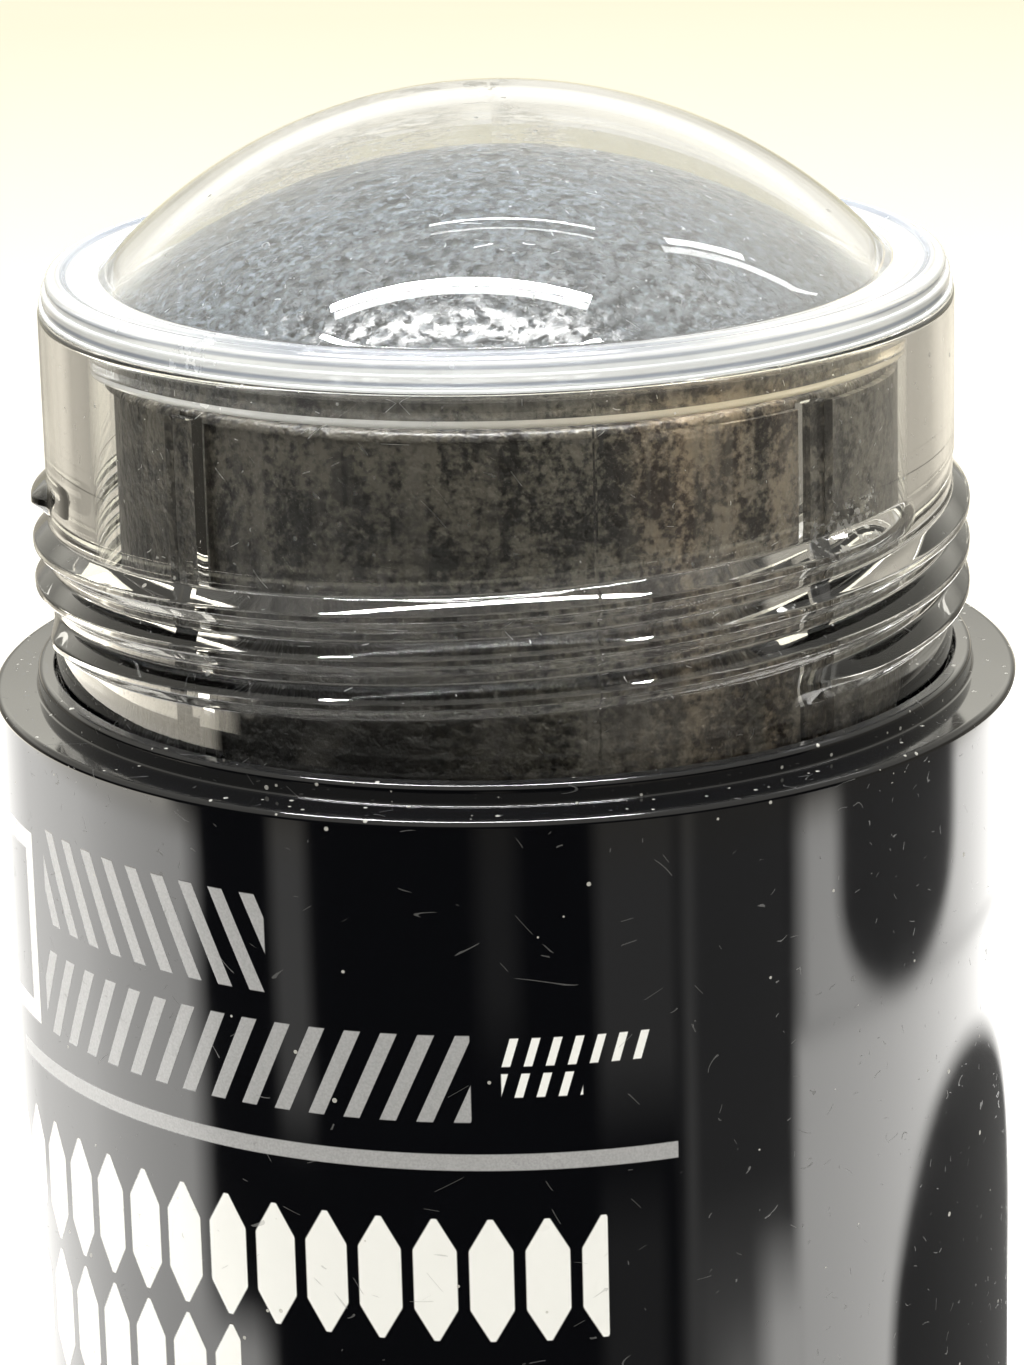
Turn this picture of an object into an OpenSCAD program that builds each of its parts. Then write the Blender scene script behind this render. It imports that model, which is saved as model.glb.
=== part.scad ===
// Twist-up deodorant stick: black outer shell round a clear threaded barrel,
// domed clear seal, charcoal product, and a feed screw turned by the base dial.
// The axis is Z, and z = 0 is the surface that the dial's foot stands on.

/* [Case] */
// Outer diameter of the black shell and of the base dial
body_d = 50; // [46:0.5:60]
// Height of the black shell, up to its flat shoulder
shell_h = 62.6; // [56:0.2:80]
// Width of the shoulder, from the shell's outside in to the neck
shoulder_w = 3; // [2.75:0.05:5]
// Wall of the black shell
shell_wall = 1.6; // [1.2:0.1:2]
// Thickness of the shell's turned-in shoulder
shoulder_t = 1.6; // [1:0.1:2.5]
// Bevel round the outer edge of the shoulder
shoulder_bevel = 0.3; // [0.1:0.05:0.8]
// Height of the collar round the root of the neck
collar_h = 1; // [0.4:0.1:2]
// Radial width of that collar
collar_w = 0.8; // [0.5:0.1:1.4]

/* [Neck] */
// Wall of the clear barrel and its neck
barrel_wall = 2.2; // [1.6:0.1:2.6]
// Height of the neck's rim above the shoulder
neck_h = 18.75; // [16:0.25:24]
// Rounding of the rim's outer edge
rim_round = 0.3; // [0.1:0.05:0.6]
// How far the neck lies back between the thread ridges
thread_relief = 0.08; // [0.05:0.01:0.2]
// Thickness of the two flanges that centre the barrel in the shell
flange_t = 2; // [1:0.1:3]

/* [Neck thread] */
// Number of separate thread starts
thread_starts = 3; // [1:1:4]
// Rise of one start in a whole turn
thread_lead = 6.15; // [5:0.05:7]
// Turns that each ridge runs
thread_turns = 1.055; // [0.6:0.005:1.2]
// Height of a ridge over the plain neck
thread_depth = 0.75; // [0.4:0.05:1]
// Width of a ridge at its root
thread_w = 1.7; // [1:0.05:1.9]
// Height above the shoulder at which a ridge ends
thread_end_h = 9.8; // [9:0.1:11]
// Azimuth at which the first ridge ends, in degrees
thread_end_az = -34; // [-180:1:180]

/* [Guide ribs] */
// Number of ribs inside the barrel that stop the product turning
rib_count = 4; // [2:1:6]
// Azimuth of the first rib, in degrees
rib_az = 45; // [0:1:90]
// Width of a rib
rib_w = 1.4; // [0.8:0.1:2]
// How far a rib stands into the barrel
rib_h = 0.8; // [0.5:0.1:1.2]
// Distance of a rib's top end below the seal's plug
rib_top_gap = 0.5; // [0.3:0.1:3]

/* [Seal] */
// Thickness of the flange that lies on the rim
seal_flange_t = 1.37; // [0.8:0.01:2]
// How far the flange lies back from the neck's outside
seal_inset = 0.07; // [0.05:0.01:0.5]
// Gap between the rim and the flange
seal_seat_gap = 0.05; // [0:0.01:0.2]
// Depth that the plug reaches into the barrel
plug_depth = 2; // [1:0.1:3]
// Wall of the plug
plug_wall = 1.15; // [0.8:0.05:1.3]
// Radial play of the plug in the barrel
plug_play = 0.1; // [0.05:0.01:0.2]
// Width of the flat flange outside the dome's foot
flange_w = 2.98; // [2.5:0.02:3.4]
// Height of the dome above the flange
dome_h = 8.34; // [8:0.1:14]
// Wall of the dome
dome_wall = 1.1; // [0.7:0.05:1.4]

/* [Product] */
// Air gap between the product and the barrel, left as the product shrinks when it sets
product_gap = 0.75; // [0.3:0.05:1]
// Air gap between the product and the seal
crown_gap = 0.3; // [0.2:0.05:0.6]
// Height of the product's crown above its upper edge
crown_h = 6.4; // [4:0.1:7]
// Height of the product's upper edge above the neck's rim
crown_edge_h = 0.15; // [0:0.05:0.5]

/* [Feed screw] */
// Travel of the elevator
travel = 60; // [30:1:60]
// Rise of the elevator in one turn of the dial
screw_lead = 5; // [4:0.25:6]
// Outer diameter of the screw thread
screw_d = 8.4; // [7:0.1:9]
// Depth of the screw thread
screw_depth = 1.2; // [0.8:0.1:1.4]
// Width of the screw ridge at its root
screw_w = 2; // [1.4:0.1:2.2]
// Diameter of the journal in the bearing plate
journal_d = 8; // [6:0.1:8.4]
// Running clearance of the journal, on the radius
journal_play = 0.06; // [0.03:0.01:0.1]
// Diameter of the thrust collar on the plate
thrust_d = 12; // [10:0.5:16]
// Thickness of the thrust collar
thrust_t = 1.5; // [1:0.1:3]
// Side of the square drive in the dial's hub
drive_w = 5.4; // [4:0.1:5.6]

/* [Elevator] */
// Radial play of the elevator in the barrel
elevator_play = 0.35; // [0.2:0.05:0.6]
// Height of the nut, and so of the elevator's hub
nut_h = 8; // [6:0.5:12]
// Wall of the nut round the screw
nut_wall = 2; // [1.4:0.1:3]
// Play between the nut and the screw
nut_play = 0.25; // [0.2:0.05:0.35]
// Height of the elevator's ring and spokes
ring_h = 4; // [2.5:0.1:5]
// Radial width of the elevator's ring
ring_w = 3; // [2.4:0.1:5]
// Depth of the thin guide skirt under the ring
skirt_h = 3; // [1:0.1:3.5]
// Wall of the guide skirt
skirt_wall = 0.9; // [0.6:0.1:0.9]
// Number of spokes
spoke_count = 6; // [3:1:8]
// Width of a spoke
spoke_w = 2; // [1:0.1:3]

/* [Base] */
// Height of the dial
dial_h = 9; // [7:0.5:14]
// Gap between the dial and the shell
dial_gap = 0.4; // [0.2:0.05:0.8]
// Thickness of the dial's floor
dial_floor_t = 1.6; // [1:0.1:2.5]
// Height of the dial's foot under its floor
foot_h = 0.8; // [0.4:0.1:2]
// Number of grip flutes round the dial
flute_count = 48; // [24:1:60]
// Depth of a grip flute
flute_depth = 0.35; // [0.15:0.05:0.5]
// Radius of a grip flute
flute_r = 0.9; // [0.6:0.05:1]
// Height of the spigot that centres the dial in the shell
spigot_h = 0.8; // [0.5:0.1:0.8]
// Wall of the spigot, behind which the dial's wall stands
spigot_wall = 1.2; // [1:0.1:2]
// Wall of the dial's hub at the corners of the drive
hub_wall = 1.6; // [1:0.1:3]
// Number of ribs between the dial's hub and its wall
dial_rib_count = 6; // [3:1:12]
// Thickness of those ribs
dial_rib_t = 1.2; // [0.8:0.1:2]
// Height of the bearing plate's underside above the shell's lower edge
plate_inset = 1.2; // [1.2:0.1:3]
// Thickness of the bearing plate
plate_t = 2; // [1.5:0.1:4]
// How far the snap bead under the plate stands in
bead_h = 0.35; // [0.2:0.05:0.4]

/* [Fits] */
// Play of pieces that are pushed together and stay
push_play = 0.05; // [0.02:0.01:0.1]
// Running play between faces that turn or slide past each other
run_play = 0.3; // [0.2:0.05:0.4]

/* [Hidden] */
$fn = 96;
// An overlap that makes one solid of two shapes, and lets a cut pass a face
merge = 0.4;
// Slices in each turn of the neck's ridges and of the screw thread
neck_slices = 54;
screw_slices = 20;
// Share of the dial's height that the flutes take
flute_share = 0.64;
// Share of the neck's ridge that each fading end takes
ridge_fade = 0.045;
// Half width of a neck ridge's round crest, as a share of its root
crest_share = 0.4;
// Least height of a fading end, as a share of the full height
fade_floor = 0.2;
// Flat sides of the neck's thread band, which stand for its round
band_sides = 72;
// Share of the barrel's wall that runs on behind the thread band
core_share = 2 / 3;
// Share of a screw ridge's root width that each flank takes
flank_share = 0.2;

body_r = body_d / 2;
bore_r = body_r - shell_wall;
neck_r = body_r - shoulder_w;
barrel_r = neck_r - barrel_wall;
neck_hole_r = neck_r + push_play;
spigot_r = bore_r - run_play;
flange_r = bore_r - push_play;
shell_z = dial_h + dial_gap;
shoulder_z = shell_z + shell_h;
rim_z = shoulder_z + neck_h;
// The thread band starts inside the collar, and ends clear of the ridges' upper ends
band_z = shoulder_z + collar_h / 2;
plain_z = shoulder_z + thread_end_h + thread_w / 2 + run_play;
core_wall = barrel_wall * core_share;

plate_z = shell_z + plate_inset;
barrel_z = plate_z + plate_t;
thrust_z = barrel_z + run_play;
nut_z = thrust_z + thrust_t + run_play;
ring_top_z = nut_z + nut_h;
ring_z = ring_top_z - ring_h;
screw_top_z = ring_top_z + travel;

screw_r = screw_d / 2;
screw_root_r = screw_r - screw_depth;
nut_r = screw_r + nut_play;
nut_hub_r = nut_r + nut_wall;
elevator_r = barrel_r - elevator_play;
ring_in_r = elevator_r - ring_w;
// Slope of the screw's flanks, which narrow each ridge outwards
flank = flank_share * screw_w / screw_depth;
// The nut's ridge fills the groove between two turns of the screw, less its play
nut_ridge_w = screw_lead - screw_w + 2 * flank * (screw_depth + nut_play) - 2 * nut_play;
nut_ridge_h = nut_r - screw_root_r - nut_play;

plug_z = rim_z + seal_seat_gap - plug_depth;
plug_r = barrel_r - plug_play;
plug_in_r = plug_r - plug_wall;
rib_tip_r = barrel_r - rib_h;
rib_top_z = plug_z - rib_top_gap;
dome_r = neck_r - seal_inset - flange_w;
dome_z = rim_z + seal_seat_gap + seal_flange_t;
dome_ball_r = (dome_r * dome_r + dome_h * dome_h) / (2 * dome_h);
dome_centre_z = dome_z + dome_h - dome_ball_r;

product_r = barrel_r - product_gap;
crown_r = plug_in_r - crown_gap;
crown_z = rim_z + crown_edge_h;
crown_top_z = crown_z + crown_h;
crown_ball_r = (crown_r * crown_r + crown_h * crown_h) / (2 * crown_h);

// Cutter that rounds a convex corner at (x, y); the material lies on the side of (-sx, -sy)
module round_corner(x, y, r, sx, sy) {
    translate([x, y]) difference() {
        translate([-sx * r / 2 + sx * merge / 2, -sy * r / 2 + sy * merge / 2])
            square(r + merge, center = true);
        translate([-sx * r, -sy * r]) circle(r);
    }
}

// Cutter for the same corner as a flat bevel
module bevel_corner(x, y, size, sx, sy) {
    polygon([[x + sx * merge, y - sy * (size + merge)],
             [x + sx * merge, y + sy * merge],
             [x - sx * (size + merge), y + sy * merge]]);
}

// Share of full height at t, from 0 to 1 along a ridge whose ends fade over the length fade
function faded(t, fade) = fade > 0 ? max(fade_floor, min(1, t / fade, (1 - t) / fade)) : 1;

// A ridge carried along a helix. Each section point is [out from root_r, along Z], and a
// point further in than root_r is sunk in what carries the ridge. A negative lead is left-handed.
module helical_ridge(root_r, section, lead, start_az, start_z, turns, slices, fade) {
    rings = ceil(turns * slices);
    sides = len(section);
    points = [for (i = [0:rings])
        let (t = i / rings, az = start_az + 360 * turns * t, grow = faded(t, fade))
        for (s = section)
            let (r = root_r + (s[0] > 0 ? s[0] * grow : s[0]))
            [r * cos(az), r * sin(az), start_z + lead * turns * t + s[1]]];
    skin = [for (i = [0:rings - 1]) for (j = [0:sides - 1])
        let (a = i * sides + j, b = i * sides + (j + 1) % sides)
        each [[a, b, b + sides], [a, b + sides, a + sides]]];
    first = [for (j = [sides - 1:-1:0]) j];
    last = [for (j = [0:sides - 1]) rings * sides + j];
    polyhedron(points, concat(skin, [first, last]));
}

// Black shell with its shoulder, the collar round the neck and a snap bead inside
module outer_shell() {
    color([0.03, 0.03, 0.035])
    rotate_extrude() difference() {
        union() {
            translate([bore_r, shell_z]) square([shell_wall, shoulder_z - shell_z]);
            translate([neck_hole_r, shoulder_z - shoulder_t])
                square([body_r - neck_hole_r - merge, shoulder_t]);
            translate([neck_hole_r, shoulder_z - merge]) square([collar_w, collar_h + merge]);
            polygon([[bore_r + merge, plate_z], [bore_r, plate_z], [bore_r - bead_h, plate_z - bead_h],
                     [bore_r, plate_z - 2 * bead_h], [bore_r + merge, plate_z - 2 * bead_h]]);
        }
        bevel_corner(body_r, shoulder_z, shoulder_bevel, 1, 1);
        bevel_corner(body_r, shell_z, shoulder_bevel, 1, -1);
        round_corner(neck_hole_r + collar_w, shoulder_z + collar_h, collar_w / 3, 1, 1);
    }
}

// Profile of the clear barrel without its thread band, whose core is core_wall thick here
module barrel_profile() {
    difference() {
        union() {
            translate([barrel_r, barrel_z]) square([barrel_wall, band_z - barrel_z]);
            translate([barrel_r, band_z - merge]) square([core_wall, plain_z - band_z + 2 * merge]);
            translate([barrel_r, plain_z]) square([barrel_wall, rim_z - plain_z]);
            translate([barrel_r, barrel_z]) square([flange_r - barrel_r, flange_t]);
            translate([barrel_r, shoulder_z - shoulder_t - flange_t])
                square([flange_r - barrel_r, flange_t]);
        }
        round_corner(neck_r, rim_z, rim_round, 1, 1);
    }
}

// Section of a neck ridge: sloping flanks from its sunk root to a rounded crest
neck_ridge = [[-merge, -thread_w / 2],
    for (a = [-60:40:60])
        [thread_relief + thread_depth * cos(a), thread_w * crest_share * sin(a)],
    [-merge, thread_w / 2]];

// Band of the neck between the collar and the plain part, with the ridges of every start
module thread_band() {
    difference() {
        translate([0, 0, band_z - merge]) linear_extrude(plain_z - band_z + 2 * merge)
            polygon([for (i = [0:band_sides - 1]) let (az = 360 * i / band_sides)
                (neck_r - thread_relief) * [cos(az), sin(az)]]);
        translate([0, 0, band_z - 2 * merge])
            cylinder(r = barrel_r + core_wall / 2, h = plain_z - band_z + 4 * merge);
    }
    for (i = [0:thread_starts - 1])
        helical_ridge(neck_r - thread_relief, neck_ridge, thread_lead,
            thread_end_az - 360 * thread_turns + 360 * i / thread_starts,
            shoulder_z + thread_end_h - thread_lead * thread_turns,
            thread_turns, neck_slices, ridge_fade);
}

// Clear barrel with the threaded neck, and the ribs that keep the product from turning
module clear_barrel() {
    color([0.82, 0.84, 0.86, 0.35]) {
        rotate_extrude() barrel_profile();
        thread_band();
        for (i = [0:rib_count - 1]) rotate([0, 0, rib_az + 360 * i / rib_count])
            translate([rib_tip_r, -rib_w / 2, barrel_z])
                cube([rib_h + merge, rib_w, rib_top_z - barrel_z]);
    }
}

// Plate that closes the barrel and carries the feed screw's journal
module bearing_plate() {
    color([0.06, 0.06, 0.065])
    rotate_extrude() difference() {
        translate([journal_d / 2 + journal_play, plate_z])
            square([flange_r - journal_d / 2 - journal_play, plate_t]);
        bevel_corner(flange_r, plate_z, bead_h, 1, -1);
    }
}

// Dial that forms the foot: stepped wall with grip flutes, hub for the drive, and ribs
module base_dial() {
    dial_hub_r = drive_w / 2 * sqrt(2) + push_play + hub_wall;
    hub_top_z = plate_z - run_play;
    socket_w = drive_w + 2 * push_play;
    color([0.03, 0.03, 0.035])
    difference() {
        union() {
            rotate_extrude() difference() {
                union() {
                    translate([spigot_r - spigot_wall, 0])
                        square([body_r - spigot_r + spigot_wall, dial_h]);
                    translate([spigot_r - spigot_wall, dial_h - merge])
                        square([spigot_wall, spigot_h + merge]);
                    translate([0, foot_h]) square([spigot_r, dial_floor_t]);
                    translate([0, foot_h]) square([dial_hub_r, hub_top_z - foot_h]);
                }
                bevel_corner(body_r, 0, shoulder_bevel, 1, -1);
                bevel_corner(body_r, dial_h, shoulder_bevel, 1, 1);
            }
            for (i = [0:dial_rib_count - 1]) rotate([0, 0, 360 * i / dial_rib_count])
                translate([dial_hub_r - merge, -dial_rib_t / 2, foot_h])
                    cube([spigot_r - spigot_wall - dial_hub_r + 2 * merge, dial_rib_t,
                        dial_h - spigot_h - foot_h]);
        }
        translate([-socket_w / 2, -socket_w / 2, foot_h + dial_floor_t])
            cube([socket_w, socket_w, plate_z]);
        for (i = [0:flute_count - 1]) rotate([0, 0, 360 * (i + 0.5) / flute_count])
            translate([body_r + flute_r - flute_depth, 0, dial_h * (1 - flute_share) / 2])
                cylinder(r = flute_r, h = dial_h * flute_share);
    }
}

// Trapezoid section of the screw ridge, with its root sunk in the core
screw_ridge = [[-merge, -screw_w / 2 - flank * merge],
    [screw_depth, -screw_w / 2 + flank * screw_depth],
    [screw_depth, screw_w / 2 - flank * screw_depth],
    [-merge, screw_w / 2 + flank * merge]];

// Left-handed feed screw with its thrust collar, journal and square drive
module feed_screw() {
    thread_z = thrust_z + thrust_t + screw_w / 2 + merge;
    thread_top_z = screw_top_z - screw_w;
    turns = (thread_top_z - thread_z) / screw_lead;
    tip_h = screw_root_r / 2;
    color([0.85, 0.85, 0.82]) {
        translate([0, 0, thrust_z]) cylinder(r = screw_root_r, h = screw_top_z - tip_h - thrust_z);
        translate([0, 0, screw_top_z - tip_h])
            cylinder(r1 = screw_root_r, r2 = screw_root_r - tip_h, h = tip_h);
        translate([0, 0, thrust_z]) cylinder(d = thrust_d, h = thrust_t);
        translate([0, 0, plate_z - run_play])
            cylinder(d = journal_d, h = thrust_z - plate_z + run_play + merge);
        translate([-drive_w / 2, -drive_w / 2, foot_h + dial_floor_t])
            cube([drive_w, drive_w, plate_z - foot_h - dial_floor_t]);
        helical_ridge(screw_root_r, screw_ridge, -screw_lead, screw_phase(thread_top_z),
            thread_top_z, turns, screw_slices, 0);
    }
}

// Azimuth at which the screw ridge's middle line crosses the height z
function screw_phase(z) = -360 * (z - nut_z) / screw_lead;

// The nut's own ridge, which reaches in from the bore, so its section points inwards
nut_ridge = [[merge, -nut_ridge_w / 2 - flank * merge], [merge, nut_ridge_w / 2 + flank * merge],
    [-nut_ridge_h, nut_ridge_w / 2 - flank * nut_ridge_h],
    [-nut_ridge_h, -nut_ridge_w / 2 + flank * nut_ridge_h]];

// Grooves or notches that clear the barrel's ribs, from z_low to z_high
module rib_clearance(z_low, z_high, play) {
    for (i = [0:rib_count - 1]) rotate([0, 0, rib_az + 360 * i / rib_count])
        translate([rib_tip_r - play, -rib_w / 2 - play, z_low])
            cube([rib_h + play + merge, rib_w + 2 * play, z_high - z_low]);
}

// The open web of ring, hub and spokes, grown by grow on every side that the product meets
module elevator_web(grow) {
    translate([0, 0, ring_z - grow]) difference() {
        cylinder(r = elevator_r + merge * (grow > 0 ? 1 : 0), h = ring_h + 2 * grow);
        translate([0, 0, -merge]) cylinder(r = ring_in_r - grow, h = ring_h + 2 * grow + 2 * merge);
    }
    translate([0, 0, ring_z - grow]) cylinder(r = nut_hub_r + grow, h = ring_h + 2 * grow);
    for (i = [0:spoke_count - 1]) rotate([0, 0, 360 * i / spoke_count])
        translate([nut_hub_r - merge, -spoke_w / 2 - grow, ring_z - grow])
            cube([ring_in_r - nut_hub_r + 2 * merge, spoke_w + 2 * grow, ring_h + 2 * grow]);
}

// Spoked elevator: a nut on the screw, with a guide skirt and notches for the ribs
module elevator() {
    nut_turns = (nut_h - nut_ridge_w - 2 * nut_play) / screw_lead;
    nut_top_z = ring_top_z - nut_ridge_w / 2 - nut_play;
    color([0.9, 0.9, 0.88]) {
        difference() {
            union() {
                elevator_web(0);
                translate([0, 0, nut_z]) cylinder(r = nut_hub_r, h = nut_h);
                translate([0, 0, ring_z - skirt_h]) difference() {
                    cylinder(r = elevator_r, h = skirt_h + merge);
                    translate([0, 0, -merge])
                        cylinder(r = elevator_r - skirt_wall, h = skirt_h + 3 * merge);
                }
            }
            translate([0, 0, nut_z - merge]) cylinder(r = nut_r, h = nut_h + 2 * merge);
            rib_clearance(ring_z - skirt_h - merge, ring_top_z + merge, run_play);
        }
        helical_ridge(nut_r, nut_ridge, -screw_lead, screw_phase(nut_top_z) + 180,
            nut_top_z, nut_turns, screw_slices, 0);
    }
}

// The product: a ribbed cylinder with a step for the seal's plug and a domed crown
module deodorant_stick() {
    step_z = plug_z - crown_gap;
    screw_hole_r = screw_r + run_play;
    color([0.16, 0.17, 0.18])
    difference() {
        rotate_extrude() intersection() {
            translate([0, ring_z]) square([product_r, crown_top_z - ring_z + merge]);
            union() {
                translate([0, ring_z]) square([product_r, step_z - ring_z]);
                intersection() {
                    translate([0, step_z - merge])
                        square([crown_r, crown_top_z - step_z + 2 * merge]);
                    translate([0, crown_top_z - crown_ball_r]) circle(crown_ball_r);
                }
            }
        }
        rib_clearance(ring_z - merge, step_z + merge, run_play);
        elevator_web(push_play);
        translate([0, 0, ring_z - merge])
            cylinder(r = screw_hole_r, h = screw_top_z + run_play - ring_z + merge);
    }
}

// Clear seal: a flange on the rim, a plug in the barrel and a dome over the product
module seal_dome() {
    color([0.85, 0.87, 0.9, 0.3])
    rotate_extrude() difference() {
        union() {
            translate([plug_in_r, dome_z - seal_flange_t])
                square([neck_r - seal_inset - plug_in_r, seal_flange_t]);
            translate([plug_in_r, plug_z]) square([plug_wall, plug_depth + merge]);
            intersection() {
                difference() {
                    translate([0, dome_centre_z]) circle(dome_ball_r);
                    translate([0, dome_centre_z]) circle(dome_ball_r - dome_wall);
                }
                translate([0, dome_z - seal_flange_t]) square([neck_r, dome_h + seal_flange_t + merge]);
            }
        }
        round_corner(neck_r - seal_inset, dome_z, rim_round, 1, 1);
    }
}

outer_shell();
clear_barrel();
bearing_plate();
base_dial();
feed_screw();
elevator();
deodorant_stick();
seal_dome();
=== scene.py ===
"""Looks of the twist-up deodorant stick: clear threaded neck, domed seal, gritty charcoal
product and glossy black case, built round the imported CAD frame. All sizes here are millimetres
until a mesh is made, and azimuths run from +X towards +Y, so the printed front is at -90."""

import functools
import math

import bpy
import numpy as np
from mathutils import Matrix, Vector


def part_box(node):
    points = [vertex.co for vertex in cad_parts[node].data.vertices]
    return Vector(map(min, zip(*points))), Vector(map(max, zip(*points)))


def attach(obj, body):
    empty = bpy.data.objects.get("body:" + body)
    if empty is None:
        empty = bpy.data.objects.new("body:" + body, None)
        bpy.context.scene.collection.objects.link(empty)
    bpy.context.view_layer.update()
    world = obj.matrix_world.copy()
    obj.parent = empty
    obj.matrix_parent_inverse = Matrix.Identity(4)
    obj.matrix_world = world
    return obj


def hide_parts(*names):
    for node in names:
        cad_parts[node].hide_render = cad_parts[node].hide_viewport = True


bl_info = {
    "name": "Deodorant stick looks",
    "version": (1, 0, 0),
    "blender": (4, 5, 0),
    "location": "View3D > Sidebar > Stick",
    "description": "Shapes, finishes and stage of a twist-up deodorant stick",
    "category": "Object",
}

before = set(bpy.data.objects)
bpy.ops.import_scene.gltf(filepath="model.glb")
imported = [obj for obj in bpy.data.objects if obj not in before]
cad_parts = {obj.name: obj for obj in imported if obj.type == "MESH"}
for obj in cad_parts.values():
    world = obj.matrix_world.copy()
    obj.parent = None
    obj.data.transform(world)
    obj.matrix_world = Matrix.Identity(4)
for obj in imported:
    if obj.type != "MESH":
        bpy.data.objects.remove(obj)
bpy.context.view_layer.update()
MM = 0.001


def node_span(name):
    """Lowest z, highest z and outer radius of a CAD node, in millimetres."""
    low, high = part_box(name)
    return low[2] / MM, high[2] / MM, high[0] / MM


SHELL_LOW, COLLAR_TOP, BODY_R = node_span("outer_shell")
BARREL_LOW, RIM, _ = node_span("clear_barrel")
SEAL_LOW, _, SEAL_R = node_span("seal_dome")
STICK_LOW, CROWN_TOP, STICK_R = node_span("deodorant_stick")
COLLAR_H = 1.0
SHOULDER = COLLAR_TOP - COLLAR_H
NECK_R = BODY_R - 3.0
BARREL_R = NECK_R - 2.2
BORE_R = BODY_R - 1.6
RIBS = (45, 135, 225, 315)


# Sizes and colours that a user may change


class ShellLooks(bpy.types.PropertyGroup):
    colour: bpy.props.FloatVectorProperty(
        name="Shell colour", description="Colour of the black plastic", subtype="COLOR",
        size=3, default=(0.0018, 0.002, 0.003), min=0, max=1)
    silver: bpy.props.FloatVectorProperty(
        name="Silver print", description="Colour of the silver print", subtype="COLOR",
        size=3, default=(0.42, 0.42, 0.43), min=0, max=1)
    white: bpy.props.FloatVectorProperty(
        name="White print", description="Colour of the white print", subtype="COLOR",
        size=3, default=(0.94, 0.94, 0.92), min=0, max=1)
    dust: bpy.props.FloatProperty(
        name="Dust", description="Share of the possible dust specks that are there",
        subtype="FACTOR", default=0.35, min=0, max=1)


class ClearLooks(bpy.types.PropertyGroup):
    tint: bpy.props.FloatVectorProperty(
        name="Clear tint", description="Tint of the clear plastic", subtype="COLOR",
        size=3, default=(0.985, 0.985, 0.98), min=0, max=1)
    ior: bpy.props.FloatProperty(
        name="Refraction", description="Index of refraction of the clear plastic",
        default=1.5, min=1.3, max=1.7)
    ridge_depth: bpy.props.FloatProperty(
        name="Ridge height", description="Height of the cap thread over the neck, in mm",
        default=0.75, min=0.4, max=1)
    ridge_width: bpy.props.FloatProperty(
        name="Ridge width", description="Width of a ridge at its root, in mm",
        default=1.7, min=1, max=1.9)


class ProductLooks(bpy.types.PropertyGroup):
    colour: bpy.props.FloatVectorProperty(
        name="Product colour", description="Main colour of the charcoal product",
        subtype="COLOR", size=3, default=(0.043, 0.051, 0.059), min=0, max=1)
    grit: bpy.props.FloatProperty(
        name="Grit", description="Height of the grit on the crown, in mm",
        default=0.04, min=0, max=0.4)


class StageLooks(bpy.types.PropertyGroup):
    floor: bpy.props.FloatVectorProperty(
        name="Floor colour", description="Colour of the pale floor", subtype="COLOR",
        size=3, default=(1.0, 0.985, 0.92), min=0, max=1)
    lamps: bpy.props.FloatProperty(
        name="Lamps", description="Strength of the lamps", default=1.0, min=0, max=5)


# Surfaces worked out as arrays


def placed(name, data):
    """An object with that data, linked to the scene."""
    made = bpy.data.objects.new(name, data)
    bpy.context.scene.collection.objects.link(made)
    return made


def skin(name, grid, loop=False, low_pole=None, high_pole=None, crease=40):
    """A mesh over grid, an array of rows by columns by xyz in mm. Columns close round the axis.
    loop joins the last row to the first, and a pole closes the first or last row to a point.
    Rows that climb an outer wall while columns turn from +X to +Y give faces that look out."""
    rows, cols, _ = grid.shape
    points = grid.reshape(-1, 3)
    index = np.arange(rows * cols).reshape(rows, cols)
    rings = np.vstack([index, index[:1]]) if loop else index
    a, b = rings[:-1], rings[1:]
    quads = np.stack([a, np.roll(a, -1, 1), np.roll(b, -1, 1), b], -1).reshape(-1, 4)
    fans = []
    for pole, ring in ((low_pole, index[0]), (high_pole, index[-1])):
        if pole is None:
            continue
        tip = np.full(cols, len(points))
        points = np.vstack([points, pole])
        after = np.roll(ring, -1)
        fans.append(np.stack([ring, after, tip] if pole is high_pole else [after, ring, tip], -1))
    tris = np.vstack(fans) if fans else np.zeros((0, 3), int)
    corners = np.concatenate([quads.ravel(), tris.ravel()]).astype(np.int32)
    starts = np.concatenate([np.arange(len(quads)) * 4, len(quads) * 4 + np.arange(len(tris)) * 3])
    mesh = bpy.data.meshes.new(name)
    mesh.vertices.add(len(points))
    mesh.vertices.foreach_set("co", (points * MM).astype(np.float32).ravel())
    mesh.loops.add(len(corners))
    mesh.loops.foreach_set("vertex_index", corners)
    mesh.polygons.add(len(starts))
    mesh.polygons.foreach_set("loop_start", starts.astype(np.int32))
    mesh.update(calc_edges=True)
    mesh.validate()
    mesh.shade_smooth()
    mesh.set_sharp_from_angle(angle=math.radians(crease))
    return placed(name, mesh)


def turned(profile, azimuths):
    """Grid of a turned shape: point (r cos a, r sin a, z) for each profile point and azimuth."""
    profile = np.asarray(profile, float)
    r, z = profile[:, 0, None], profile[:, 1, None]
    a = np.radians(azimuths)[None, :]
    return np.stack([r * np.cos(a), r * np.sin(a), z + 0 * a], -1)


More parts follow.
